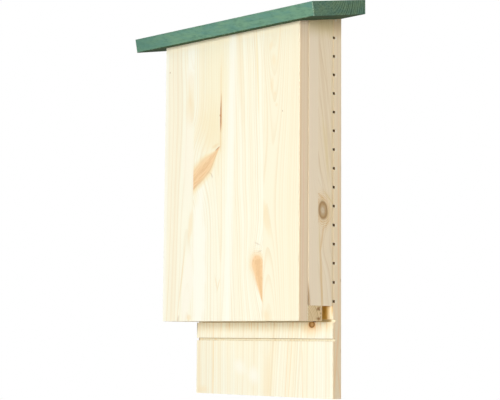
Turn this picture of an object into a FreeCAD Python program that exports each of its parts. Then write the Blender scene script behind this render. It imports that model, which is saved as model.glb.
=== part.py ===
import FreeCAD, Part
import os
import Sketcher
from FreeCAD import Rotation, Vector

# A flat wooden bat box that hangs on a wall.
# A long back board runs on below the box as a landing board and carries a
# ladder of saw kerfs for the bats' claws. Two side battens hold the front
# board off it, an entrance strip narrows the way in, and a sloping roof board
# covers the bevelled tops. Screws from behind hold the boards together.
#
# Millimetres and degrees. +X is the viewer's right, +Y points into the wall
# and +Z up. The boards are drawn from the wall plane and from the back board's
# bottom edge, and then moved down, so that the origin is the centre of the
# hanging hole on the wall plane.

# Driving sizes: name, value, meaning
SIZES = [
    ("box_width", 250, "width of the back board, front board and strip"),
    ("back_thickness", 18, "back board"),
    ("front_thickness", 18, "front board"),
    ("batten_thickness", 18, "side battens, across the box"),
    ("chamber_depth", 50, "side battens, from back board to front board"),
    ("landing_height", 100, "back board below the front board"),
    ("front_height", 386.5, "front board, on its outer face"),
    ("strip_height", 20, "entrance strip"),
    ("strip_depth", 28, "entrance strip"),
    ("arris", 0.8, "flat planed on the long edges of the boards"),
    ("roof_thickness", 19, "roof board"),
    ("roof_slope", 12, "fall of the roof towards the front, degrees"),
    ("roof_side_overhang", 40, "roof beyond each side"),
    ("roof_front_overhang", 20, "roof beyond the front, along the slope"),
    ("kerf_width", 3.5, "saw kerf"),
    ("kerf_depth", 5, "saw kerf"),
    ("kerf_count", 17, "saw kerfs"),
    ("kerf_spacing", 25, "from kerf to kerf"),
    ("kerf_first", 76, "lowest kerf above the bottom edge"),
    ("hanging_hole", 10, "hanging hole, diameter"),
    ("hanging_drop", 67, "hanging hole below the back board's top at the wall"),
    ("resin_length", 50, "resin pocket in the front board"),
    ("resin_width", 1.4, "resin pocket at its middle"),
    ("resin_depth", 1.5, "resin pocket"),
    ("resin_place", -15.7, "resin pocket from the middle of the board"),
    ("resin_height", 377, "resin pocket above the bottom edge"),
    ("wane_height", 22, "missing corner of the right batten"),
    ("wane_width", 3, "missing corner of the right batten"),
    ("wane_depth", 6, "missing corner of the right batten"),
    ("board_screw_diameter", 4.5, "screw through the back board"),
    ("board_screw_length", 80, "screw through the back board"),
    ("board_screw_head", 9, "screw through the back board, head"),
    ("board_screw_rows", 3, "screws in each batten"),
    ("board_screw_first", 43, "lowest screw above the batten's end"),
    ("board_screw_last", 27.3, "highest screw below the batten's front top"),
    ("roof_screw_diameter", 4, "roof screw"),
    ("roof_screw_length", 45, "roof screw"),
    ("roof_screw_head", 8, "roof screw, head"),
    ("roof_screw_inset", 12, "roof screw from the batten's front or rear"),
    ("screw_gap", 0.25, "clearance round a screw in the board that it holds"),
    ("recess_width", 1.1, "cross recess in a screw head, arm"),
    ("recess_span", 4.4, "cross recess in a screw head, across"),
    ("recess_depth", 1.6, "cross recess in a screw head"),
    ("nail_diameter", 1.8, "strip nail"),
    ("nail_length", 40, "strip nail, below its head"),
    ("nail_head", 4, "strip nail, head"),
    ("nail_head_height", 1, "strip nail, head"),
    ("nail_count", 3, "nails along the strip"),
    ("nail_spacing", 95, "from nail to nail along the strip"),
]

# Places that follow from the sizes, as expressions of the sheet
BACK_FACE = "(-Sizes.back_thickness)"
JOINT_FACE = "(-Sizes.back_thickness - Sizes.chamber_depth)"
FRONT_FACE = f"({JOINT_FACE} - Sizes.front_thickness)"
STRIP_REAR = f"({JOINT_FACE} + Sizes.strip_depth)"
STRIP_MIDDLE = "(Sizes.landing_height + Sizes.strip_height / 2)"
BATTEN_END = "(Sizes.landing_height + Sizes.strip_height)"
BATTEN_PLACE = "((Sizes.box_width - Sizes.batten_thickness) / 2)"
SCREW_START = f"({BATTEN_END} + Sizes.board_screw_first)"
FRONT_PILOT = "(Sizes.board_screw_length - Sizes.back_thickness - Sizes.chamber_depth)"
NAIL_RUN = "(Sizes.nail_spacing * (Sizes.nail_count - 1))"
NAIL_START = f"(-{NAIL_RUN} / 2)"
NAIL_PILOT = "(Sizes.nail_length - Sizes.strip_depth)"
ROOF_WIDTH = "(Sizes.box_width + 2 * Sizes.roof_side_overhang)"
ROOF_FRONT = f"({FRONT_FACE} / cos(Sizes.roof_slope) - Sizes.roof_front_overhang)"
ROOF_LEAN = "(Sizes.roof_thickness * tan(Sizes.roof_slope))"
ROOF_PILOT = "(Sizes.roof_screw_length - Sizes.roof_thickness)"
ROOF_SCREW_LOW = f"({JOINT_FACE} + Sizes.roof_screw_inset)"
ROOF_SCREW_HIGH = f"({BACK_FACE} - Sizes.roof_screw_inset)"

LEFT = -1
RIGHT = 1
X_AXIS = Vector(1, 0, 0)
Z_AXIS = Vector(0, 0, 1)
HALF_TURN = 180
FROM_BEHIND = -90
COUNTERSINK = 90
FULL_TURN = 360
TOLERANCE = 1e-6

doc = FreeCAD.newDocument("BatBox")
sheet = doc.addObject("Spreadsheet::Sheet", "Sizes")


def roof_line(depth):
    """Height of the roof's underside at a depth, both as expressions."""
    rise = f"({depth} - {FRONT_FACE}) * tan(Sizes.roof_slope)"
    return f"(Sizes.landing_height + Sizes.front_height + {rise})"


def up_slope(depth):
    """Distance along the roof board of a depth in the upright frame."""
    return f"({depth} / cos(Sizes.roof_slope))"


HANGING_HEIGHT = f"({roof_line('0')} - Sizes.hanging_drop)"
SCREW_END = f"({roof_line(JOINT_FACE)} - Sizes.board_screw_last)"
SCREW_RUN = f"({SCREW_END} - {SCREW_START})"


def fill_sheet():
    """Write the driving sizes into the spreadsheet, each under its own name."""
    for row, (name, value, meaning) in enumerate(SIZES, start=1):
        sheet.set(f"A{row}", meaning)
        sheet.set(f"B{row}", str(value))
        sheet.setAlias(f"B{row}", name)
    doc.recompute()


def value_of(expression):
    """Work out an expression of the sheet's sizes."""
    return float(sheet.evalExpression(expression))


def new_body(label, place="0", depth="0", height="0"):
    """Start a body at a place measured from the back board's bottom edge."""
    body = doc.addObject("PartDesign::Body", label)
    body.Label = label
    body.AllowCompound = True
    body.setExpression("Placement.Base.x", place)
    body.setExpression("Placement.Base.y", depth)
    body.setExpression("Placement.Base.z", f"{height} - {HANGING_HEIGHT}")
    return body


def turn_body(body, angle):
    """Turn a body about its own X axis by an angle given as an expression."""
    body.Placement.Rotation = Rotation(X_AXIS, value_of(angle))
    body.setExpression("Placement.Rotation.Angle", angle)


def own(body, role):
    """Find one of the body's own planes or axes."""
    return next(part for part in body.Origin.OriginFeatures if part.Role == role)


def new_sketch(body, name, plane, offset="0"):
    """Attach a sketch to one of the body's planes, moved along its normal."""
    sketch = body.newObject("Sketcher::SketchObject", name)
    sketch.AttachmentSupport = [(own(body, plane), "")]
    sketch.MapMode = "FlatFace"
    sketch.setExpression("AttachmentOffset.Base.z", offset)
    return sketch


def fix_point(sketch, geometry, point, across, up):
    """Tie a point of a sketch to two expressions, measured from its origin."""
    for kind, expression, axis in (("DistanceX", across, -2), ("DistanceY", up, -1)):
        if expression == "0":
            sketch.addConstraint(Sketcher.Constraint("PointOnObject", geometry, point, axis))
            continue
        now = value_of(expression)
        row = sketch.addConstraint(Sketcher.Constraint(kind, -1, 1, geometry, point, now))
        sketch.setExpression(f"Constraints[{row}]", expression)


def fix_size(sketch, kind, geometry, expression):
    """Tie a radius or diameter of a sketch to an expression."""
    now = value_of(expression)
    row = sketch.addConstraint(Sketcher.Constraint(kind, geometry, now))
    sketch.setExpression(f"Constraints[{row}]", expression)


def draw_polygon(sketch, corners):
    """Draw a closed outline through corners given as pairs of expressions."""
    points = [Vector(value_of(across), value_of(up), 0) for across, up in corners]
    count = len(points)
    for row, point in enumerate(points):
        sketch.addGeometry(Part.LineSegment(point, points[(row + 1) % count]), False)
    for row in range(count):
        sketch.addConstraint(Sketcher.Constraint("Coincident", row, 2, (row + 1) % count, 1))
    for row, (across, up) in enumerate(corners):
        fix_point(sketch, row, 1, across, up)


def draw_circle(sketch, across, up, diameter):
    """Draw a circle with its centre and diameter as expressions."""
    centre = Vector(value_of(across), value_of(up), 0)
    row = sketch.addGeometry(Part.Circle(centre, Z_AXIS, value_of(diameter) / 2), False)
    fix_point(sketch, row, 3, across, up)
    fix_size(sketch, "Diameter", row, diameter)


def draw_lens(sketch, across, up, length, width):
    """Draw two flat arcs that meet at the tips of an upright lens."""
    centre = Vector(value_of(across), value_of(up), 0)
    tip = Vector(0, value_of(length) / 2, 0)
    bulge = Vector(value_of(width) / 2, 0, 0)
    sketch.addGeometry(Part.Arc(centre - tip, centre + bulge, centre + tip), False)
    sketch.addGeometry(Part.Arc(centre + tip, centre - bulge, centre - tip), False)
    sketch.addConstraint(Sketcher.Constraint("Coincident", 0, 1, 1, 2))
    sketch.addConstraint(Sketcher.Constraint("Coincident", 0, 2, 1, 1))
    fix_point(sketch, 0, 1, across, f"{up} - {length} / 2")
    fix_point(sketch, 0, 2, across, f"{up} + {length} / 2")
    for arc in (0, 1):
        fix_size(sketch, "Radius", arc, f"({length} ^ 2 + {width} ^ 2) / (4 * {width})")


def check_cut(body, before, feature):
    """Stop if a cut took nothing off its body."""
    if body.Shape.Volume > before - TOLERANCE:
        raise RuntimeError(f"{feature.Name} cuts nothing")


def pad(body, sketch, length):
    """Pad a sketch to both sides of its plane."""
    feature = body.newObject("PartDesign::Pad", f"{sketch.Name}Pad")
    feature.Profile = sketch
    feature.SideType = "Symmetric"
    feature.setExpression("Length", length)
    doc.recompute()
    return feature


def cut(body, sketch, depth=None, forwards=False):
    """Pocket a sketch to a depth, or right through both ways without one.

    A sketch on the XZ plane cuts towards the wall, or forwards, away from it.
    """
    before = body.Shape.Volume
    feature = body.newObject("PartDesign::Pocket", f"{sketch.Name}Cut")
    feature.Profile = sketch
    feature.Reversed = forwards
    if depth is None:
        feature.SideType = "Symmetric"
        feature.Type = "ThroughAll"
    else:
        feature.setExpression("Length", depth)
    doc.recompute()
    check_cut(body, before, feature)
    return feature


def countersink(body, sketch, screw, head, forwards):
    """Drill countersunk clearance holes right through at a sketch's circles."""
    before = body.Shape.Volume
    feature = body.newObject("PartDesign::Hole", f"{sketch.Name}Hole")
    feature.Profile = sketch
    feature.Reversed = forwards
    feature.DepthType = "ThroughAll"
    feature.HoleCutType = "Countersink"
    feature.HoleCutCustomValues = True
    feature.HoleCutCountersinkAngle = COUNTERSINK
    feature.setExpression("Diameter", f"{screw} + 2 * Sizes.screw_gap")
    feature.setExpression("HoleCutDiameter", head)
    doc.recompute()
    check_cut(body, before, feature)
    return feature


def repeat(body, originals, role, count, length):
    """Repeat features along one of the body's axes, over a whole length."""
    pattern = body.newObject("PartDesign::LinearPattern", f"{originals[0].Name}Row")
    pattern.Originals = originals
    pattern.Direction = (own(body, role), [""])
    pattern.setExpression("Length", length)
    pattern.setExpression("Occurrences", count)
    body.Tip = pattern
    doc.recompute()
    return pattern


def ease_edges(body, feature, wanted):
    """Plane a small flat on each edge of a feature that is wanted."""
    edges = enumerate(feature.Shape.Edges, start=1)
    names = [f"Edge{row}" for row, edge in edges if wanted(edge)]
    chamfer = body.newObject("PartDesign::Chamfer", f"{feature.Name}Arris")
    chamfer.Base = (feature, names)
    chamfer.setExpression("Size", "Sizes.arris")
    doc.recompute()


def runs_along(axis):
    """Make a test of whether an edge runs along an axis."""
    def wanted(edge):
        run = edge.Vertexes[-1].Point - edge.Vertexes[0].Point
        return run.cross(axis).Length < TOLERANCE
    return wanted


def at_roof_front(edge):
    """Say whether an edge of the roof board bounds its front face."""
    front = value_of(ROOF_FRONT)
    return all(abs(vertex.Point.y - front) < TOLERANCE for vertex in edge.Vertexes)


def upright_board(body, front, rear, bottom, width):
    """Make a board between two depths, its top bevelled to the roof."""
    profile = new_sketch(body, f"{body.Name}Profile", "YZ_Plane")
    corners = [(front, bottom), (rear, bottom), (rear, roof_line(rear)), (front, roof_line(front))]
    draw_polygon(profile, corners)
    board = pad(body, profile, width)
    ease_edges(body, board, runs_along(Z_AXIS))


def draw_screw_pair(sketch):
    """Draw the circles of the lowest screw in each batten."""
    for side in (LEFT, RIGHT):
        draw_circle(sketch, f"{side} * {BATTEN_PLACE}", SCREW_START, "Sizes.board_screw_diameter")


def make_back_board():
    """Back board with its ladder of kerfs, screw holes and hanging hole."""
    body = new_body("back_board")
    upright_board(body, BACK_FACE, "0", "0", "Sizes.box_width")

    kerf = new_sketch(body, "Kerf", "YZ_Plane")
    outside = f"{BACK_FACE} - Sizes.kerf_depth"
    floor = f"{BACK_FACE} + Sizes.kerf_depth"
    low = "Sizes.kerf_first - Sizes.kerf_width / 2"
    high = "Sizes.kerf_first + Sizes.kerf_width / 2"
    draw_polygon(kerf, [(outside, low), (floor, low), (floor, high), (outside, high)])
    ladder = "Sizes.kerf_spacing * (Sizes.kerf_count - 1)"
    repeat(body, [cut(body, kerf)], "Z_Axis", "Sizes.kerf_count", ladder)

    screws = new_sketch(body, "BoardScrews", "XZ_Plane")
    draw_screw_pair(screws)
    holes = countersink(body, screws, "Sizes.board_screw_diameter", "Sizes.board_screw_head", True)
    repeat(body, [holes], "Z_Axis", "Sizes.board_screw_rows", SCREW_RUN)

    hanger = new_sketch(body, "HangingHole", "XZ_Plane")
    draw_circle(hanger, "0", HANGING_HEIGHT, "Sizes.hanging_hole")
    cut(body, hanger)
    return body


def make_front_board():
    """Front board with blind holes in its rear and an open resin pocket."""
    body = new_body("front_board")
    upright_board(body, FRONT_FACE, JOINT_FACE, "Sizes.landing_height", "Sizes.box_width")

    screws = new_sketch(body, "ScrewEnds", "XZ_Plane", f"-{JOINT_FACE}")
    draw_screw_pair(screws)
    screw_ends = cut(body, screws, FRONT_PILOT, forwards=True)
    repeat(body, [screw_ends], "Z_Axis", "Sizes.board_screw_rows", SCREW_RUN)

    nails = new_sketch(body, "NailEnds", "XZ_Plane", f"-{JOINT_FACE}")
    draw_circle(nails, NAIL_START, STRIP_MIDDLE, "Sizes.nail_diameter")
    nail_ends = cut(body, nails, NAIL_PILOT, forwards=True)
    repeat(body, [nail_ends], "X_Axis", "Sizes.nail_count", NAIL_RUN)

    resin = new_sketch(body, "ResinPocket", "XZ_Plane", f"-{FRONT_FACE}")
    draw_lens(resin, "Sizes.resin_place", "Sizes.resin_height", "Sizes.resin_length",
              "Sizes.resin_width")
    cut(body, resin, "Sizes.resin_depth")
    return body


def make_batten(label, side):
    """Side batten with holes for the screws from behind and from the roof."""
    body = new_body(label, place=f"{side} * {BATTEN_PLACE}")
    upright_board(body, JOINT_FACE, BACK_FACE, BATTEN_END, "Sizes.batten_thickness")

    screws = new_sketch(body, "BattenScrews", "XZ_Plane", f"-{BACK_FACE}")
    draw_circle(screws, "0", SCREW_START, "Sizes.board_screw_diameter")
    repeat(body, [cut(body, screws)], "Z_Axis", "Sizes.board_screw_rows", SCREW_RUN)

    drill_square_to_roof(body, ROOF_SCREW_LOW)
    drill_square_to_roof(body, ROOF_SCREW_HIGH)
    return body


def drill_square_to_roof(body, depth):
    """Drill a blind hole for a roof screw down through the bevelled top."""
    before = body.Shape.Volume
    drill = body.newObject("PartDesign::SubtractiveCylinder", "RoofScrewEnd")
    drill.AttachmentSupport = [(own(body, "XY_Plane"), "")]
    drill.MapMode = "FlatFace"
    drill.AttachmentOffset.Rotation = Rotation(X_AXIS, HALF_TURN + value_of("Sizes.roof_slope"))
    drill.setExpression("AttachmentOffset.Rotation.Angle", f"{HALF_TURN} + Sizes.roof_slope")
    drill.setExpression("AttachmentOffset.Base.y", depth)
    drill.setExpression("AttachmentOffset.Base.z", roof_line(depth))
    drill.setExpression("Radius", "Sizes.roof_screw_diameter / 2")
    drill.setExpression("Height", ROOF_PILOT)
    doc.recompute()
    check_cut(body, before, drill)


def take_corner_off(body):
    """Cut the wane away at the front lower corner of a batten's right face."""
    wane = new_sketch(body, "Wane", "YZ_Plane", "Sizes.batten_thickness / 2")
    corner = (JOINT_FACE, BATTEN_END)
    along = (f"{JOINT_FACE} + Sizes.wane_width", BATTEN_END)
    above = (JOINT_FACE, f"{BATTEN_END} + Sizes.wane_height")
    draw_polygon(wane, [corner, along, above])
    cut(body, wane, "Sizes.wane_depth")


def make_entrance_strip():
    """Strip behind the front board that narrows the way in."""
    body = new_body("entrance_strip")
    profile = new_sketch(body, "StripProfile", "YZ_Plane")
    low = "Sizes.landing_height"
    corners = [(JOINT_FACE, low), (STRIP_REAR, low), (STRIP_REAR, BATTEN_END)]
    corners.append((JOINT_FACE, BATTEN_END))
    draw_polygon(profile, corners)
    ease_edges(body, pad(body, profile, "Sizes.box_width"), runs_along(X_AXIS))

    nails = new_sketch(body, "StripNails", "XZ_Plane")
    draw_circle(nails, NAIL_START, STRIP_MIDDLE, "Sizes.nail_diameter")
    repeat(body, [cut(body, nails)], "X_Axis", "Sizes.nail_count", NAIL_RUN)
    return body


def make_roof_board():
    """Roof board, drawn flat and then tilted, with its rear edge cut plumb."""
    body = new_body("roof_board", height=roof_line("0"))
    turn_body(body, "Sizes.roof_slope")
    profile = new_sketch(body, "RoofProfile", "YZ_Plane")
    top = "Sizes.roof_thickness"
    draw_polygon(profile, [(ROOF_FRONT, "0"), ("0", "0"), (ROOF_LEAN, top), (ROOF_FRONT, top)])
    ease_edges(body, pad(body, profile, ROOF_WIDTH), at_roof_front)

    screws = new_sketch(body, "RoofScrews", "XY_Plane", top)
    for side in (LEFT, RIGHT):
        for depth in (ROOF_SCREW_LOW, ROOF_SCREW_HIGH):
            draw_circle(screws, f"{side} * {BATTEN_PLACE}", up_slope(depth), "Sizes.roof_screw_diameter")
    countersink(body, screws, "Sizes.roof_screw_diameter", "Sizes.roof_screw_head", False)
    return body


def turn_profile(body, name, corners):
    """Turn a half profile about the body's upright axis."""
    profile = new_sketch(body, name, "XZ_Plane")
    draw_polygon(profile, corners)
    feature = body.newObject("PartDesign::Revolution", f"{name}Turned")
    feature.Profile = profile
    feature.ReferenceAxis = (profile, ["V_Axis"])
    feature.Angle = FULL_TURN
    doc.recompute()
    return feature


def cut_cross(body):
    """Sink a cross recess into the head, which lies in the XY plane."""
    arm = "(Sizes.recess_span / 2)"
    side = "(Sizes.recess_width / 2)"
    corners = []
    quarter = [(arm, f"(-{side})"), (arm, side), (side, side)]
    for _ in range(4):
        corners.extend(quarter)
        quarter = [(f"(-{up})", across) for across, up in quarter]
    recess = new_sketch(body, "CrossRecess", "XY_Plane")
    draw_polygon(recess, corners)
    return cut(body, recess, "Sizes.recess_depth")


def screw_corners(name):
    """Half profile of a countersunk screw that points down from its head."""
    shank = f"Sizes.{name}_diameter"
    head = f"Sizes.{name}_head"
    tip = f"(-Sizes.{name}_length)"
    rim = ("0", "0"), (f"({head} / 2)", "0")
    neck = (f"({shank} / 2)", f"(({shank} - {head}) / 2)")
    point = (f"({shank} / 2)", f"({tip} + {shank})"), ("0", tip)
    return [*rim, neck, *point]


def make_screws(body, corners, rows, run):
    """Make a countersunk screw and its copies across the box and up it."""
    screw = turn_profile(body, "Screw", corners)
    grid = repeat(body, [screw, cut_cross(body)], "X_Axis", "2", f"2 * {BATTEN_PLACE}")
    grid.Direction2 = (own(body, "Y_Axis"), [""])
    grid.Reversed2 = True
    grid.setExpression("Length2", run)
    grid.setExpression("Occurrences2", rows)
    doc.recompute()
    return body


def make_back_screws():
    """Screws from behind, through back board and battens into the front."""
    body = new_body("back_screws", place=f"-{BATTEN_PLACE}", height=SCREW_START)
    turn_body(body, str(FROM_BEHIND))
    return make_screws(body, screw_corners("board_screw"), "Sizes.board_screw_rows", SCREW_RUN)


def make_roof_screws():
    """Screws from above, square to the roof, into the battens' tops."""
    high = up_slope(ROOF_SCREW_HIGH)
    depth = f"{high} * cos(Sizes.roof_slope) - Sizes.roof_thickness * sin(Sizes.roof_slope)"
    rise = f"{high} * sin(Sizes.roof_slope) + Sizes.roof_thickness * cos(Sizes.roof_slope)"
    body = new_body("roof_screws", f"-{BATTEN_PLACE}", depth, f"{roof_line('0')} + {rise}")
    turn_body(body, "Sizes.roof_slope")
    run = f"({high} - {up_slope(ROOF_SCREW_LOW)})"
    return make_screws(body, screw_corners("roof_screw"), "2", run)


def make_strip_nails():
    """Nails through the entrance strip, their heads on its rear face."""
    seat = f"{STRIP_REAR} + Sizes.nail_head_height"
    body = new_body("strip_nails", place=NAIL_START, depth=seat, height=STRIP_MIDDLE)
    turn_body(body, str(FROM_BEHIND))
    shank = "(Sizes.nail_diameter / 2)"
    head = "(Sizes.nail_head / 2)"
    neck = "(-Sizes.nail_head_height)"
    tip = f"({neck} - Sizes.nail_length)"
    corners = [("0", "0"), (head, "0"), (head, neck), (shank, neck),
               (shank, f"({tip} + Sizes.nail_diameter)"), ("0", tip)]
    nail = turn_profile(body, "Nail", corners)
    repeat(body, [nail], "X_Axis", "Sizes.nail_count", NAIL_RUN)
    return body


def check_document(bodies):
    """Stop if any object of the document failed or a body has a bad shape."""
    doc.recompute()
    for item in doc.Objects:
        if "Invalid" in item.State or "Error" in item.State:
            raise RuntimeError(f"{item.Name} did not build")
    for body in bodies:
        if body.Shape.isNull() or not body.Shape.isValid():
            raise RuntimeError(f"{body.Label} has no sound shape")


def export(bodies):
    """Write each body to a file of its own."""
    os.makedirs("parts", exist_ok=True)
    for body in bodies:
        body.Shape.exportStep(f"parts/{body.Label}.step")
        print(f"{body.Label}: {len(body.Shape.Solids)} solids, {body.Shape.Volume:.1f} mm3")


fill_sheet()
right_batten = make_batten("side_batten_right", RIGHT)
take_corner_off(right_batten)
made = [
    make_back_board(),
    make_front_board(),
    make_batten("side_batten_left", LEFT),
    right_batten,
    make_entrance_strip(),
    make_roof_board(),
    make_back_screws(),
    make_roof_screws(),
    make_strip_nails(),
]
check_document(made)
export(made)
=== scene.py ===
"""Looks of a flat wooden bat box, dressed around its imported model.

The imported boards, screws and nails keep their shapes. This script gives them their wood, stain and
metal, and adds the camera, the lamps and the floor. Lengths inside a finish are millimetres: x runs
to the right, y into the wall, and z is the height above the back board's bottom edge.
"""

import logging
import math
from collections.abc import Callable, Mapping, Sequence
from dataclasses import dataclass
from enum import Enum

import bmesh
import bpy
from mathutils import Matrix, Vector

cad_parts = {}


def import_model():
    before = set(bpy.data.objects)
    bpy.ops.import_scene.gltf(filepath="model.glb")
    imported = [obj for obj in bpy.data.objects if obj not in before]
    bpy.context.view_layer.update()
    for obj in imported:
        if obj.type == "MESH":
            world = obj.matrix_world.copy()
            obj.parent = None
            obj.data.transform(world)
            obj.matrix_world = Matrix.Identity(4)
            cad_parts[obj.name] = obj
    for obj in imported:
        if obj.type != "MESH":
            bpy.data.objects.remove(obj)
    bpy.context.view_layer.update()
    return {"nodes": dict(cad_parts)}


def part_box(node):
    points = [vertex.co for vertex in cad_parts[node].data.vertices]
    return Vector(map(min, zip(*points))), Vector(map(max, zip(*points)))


Shade = tuple[float, float, float]
Socket = bpy.types.NodeSocket
Colour = Socket | Sequence[float]
Number = "Value | float"

MILLIMETRES = 1000.0
FAR = 1000.0
EVERYWHERE = (-FAR, FAR)

log = logging.getLogger("bat_box")


def paint(shade: Shade) -> tuple[float, float, float, float]:
    """Turns a colour as the eye sees it into the linear colour that a shader takes.

    Args:
        shade: Red, green and blue, each from 0 to 255.

    Returns:
        Linear red, green and blue, and an alpha of 1.
    """
    parts = [part / 255.0 for part in shade]
    linear = [p / 12.92 if p <= 0.04045 else ((p + 0.055) / 1.055) ** 2.4 for p in parts]
    return (linear[0], linear[1], linear[2], 1.0)


def maths(operation: str, reflected: bool = False) -> Callable[..., "Value"]:
    """Makes a method that adds one Math node.

    Args:
        operation: The Math node's operation.
        reflected: Whether the value is the second input, as the mask is in 1 - mask.

    Returns:
        The method. It takes the operation's other input, where it has one.
    """

    def method(value: "Value", *others: Number) -> "Value":
        """Adds the node and gives its result."""
        parts = (*others, value) if reflected else (value, *others)
        node = value.sheet.node("ShaderNodeMath", {"operation": operation}, dict(enumerate(parts)))
        return Value(value.sheet, node.outputs[0])

    return method


class Value:
    """A number that changes over a surface: a shader socket that takes part in sums."""

    __add__, __radd__ = maths("ADD"), maths("ADD", reflected=True)
    __sub__, __rsub__ = maths("SUBTRACT"), maths("SUBTRACT", reflected=True)
    __mul__, __rmul__ = maths("MULTIPLY"), maths("MULTIPLY", reflected=True)
    __truediv__, __rtruediv__ = maths("DIVIDE"), maths("DIVIDE", reflected=True)
    __abs__ = maths("ABSOLUTE")
    root = maths("SQRT")
    whole = maths("FLOOR")
    above = maths("GREATER_THAN")
    least = maths("MINIMUM")
    most = maths("MAXIMUM")
    power_of_e = maths("EXPONENT")

    def __init__(self, sheet: "Nodes", socket: Socket) -> None:
        """Keeps the socket and the tree of nodes that it belongs to."""
        self.sheet = sheet
        self.socket = socket

    def squared(self) -> "Value":
        """Multiplies the value by itself."""
        return self * self

    def bell(self) -> "Value":
        """Gives 1 at zero and falls away smoothly, where the value is a squared distance."""
        return (self * -1.0).power_of_e()

    def ramp(self, start: Number, end: Number) -> "Value":
        """Rises smoothly from 0 to 1 between two edges.

        Args:
            start: Where the result is 0.
            end: Where the result is 1. It may be below start.

        Returns:
            The smooth step, never below 0 or above 1.
        """
        settings = {"interpolation_type": "SMOOTHSTEP"}
        node = self.sheet.node("ShaderNodeMapRange", settings, {0: self, 1: start, 2: end})
        return Value(self.sheet, node.outputs[0])


class Blend(Enum):
    """Ways of laying one colour over another."""

    COVER = "MIX"
    DARKEN = "MULTIPLY"


class Tint(Enum):
    """Shares of red, green and blue light that a stain or a shadow leaves."""

    KNOT_SWIRL = (0.86, 0.70, 0.46)
    KNOT_RING = (0.72, 0.58, 0.44)
    KNOT_STREAK = (0.74, 0.54, 0.38)
    BARK = (0.42, 0.26, 0.13)
    KERF = (0.97, 0.96, 0.88)
    KERF_RIM_SHADE = (0.50, 0.40, 0.26)
    KERF_LEFT_END = (0.58, 0.50, 0.40)
    KERF_UPPER_SHADE = (0.70, 0.55, 0.33)
    KERF_CHAMBER_SHADE = (0.24, 0.15, 0.09)
    ENTRANCE_SHADE = (1.0, 0.66, 0.18)
    UNDER_FRONT_SHADE = (1.0, 0.86, 0.62)
    THREAD = (0.95, 0.74, 0.48)
    SEAM = (0.80, 0.70, 0.54)
    FRONT_ARRIS_SHADE = (0.88, 0.84, 0.76)
    REAR = (1.0, 0.93, 0.83)
    STAINED_FIBRE = (0.82, 0.87, 0.85)


class Nodes:
    """A tree of shader nodes that starts empty."""

    def __init__(self, tree: bpy.types.NodeTree) -> None:
        """Keeps the tree and clears it."""
        self.tree = tree
        self.tree.nodes.clear()

    def node(
        self,
        kind: str,
        settings: Mapping[str, object] | None = None,
        sockets: Mapping[int | str, object] | None = None,
    ) -> bpy.types.Node:
        """Adds any node.

        Args:
            kind: The node's type, such as ShaderNodeTexNoise.
            settings: Its properties, which are set first.
            sockets: Its inputs by name or number, each a value, a socket, a number or a colour.

        Returns:
            The new node.
        """
        node = self.tree.nodes.new(kind)
        for name, setting in (settings or {}).items():
            setattr(node, name, setting)
        for key, given in (sockets or {}).items():
            if isinstance(given, Value):
                given = given.socket
            if isinstance(given, Socket):
                self.tree.links.new(given, node.inputs[key])
            else:
                node.inputs[key].default_value = given
        return node

    def seen(self, *rays: str) -> Value:
        """Gives 1 to some kinds of ray and 0 to all others.

        Args:
            rays: The kinds of ray, by their names on the Light Path node.

        Returns:
            The mask of those rays.
        """
        path = self.node("ShaderNodeLightPath").outputs
        mask, *others = (Value(self, path[ray]) for ray in rays)
        for other in others:
            mask = mask.most(other)
        return mask


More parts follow.
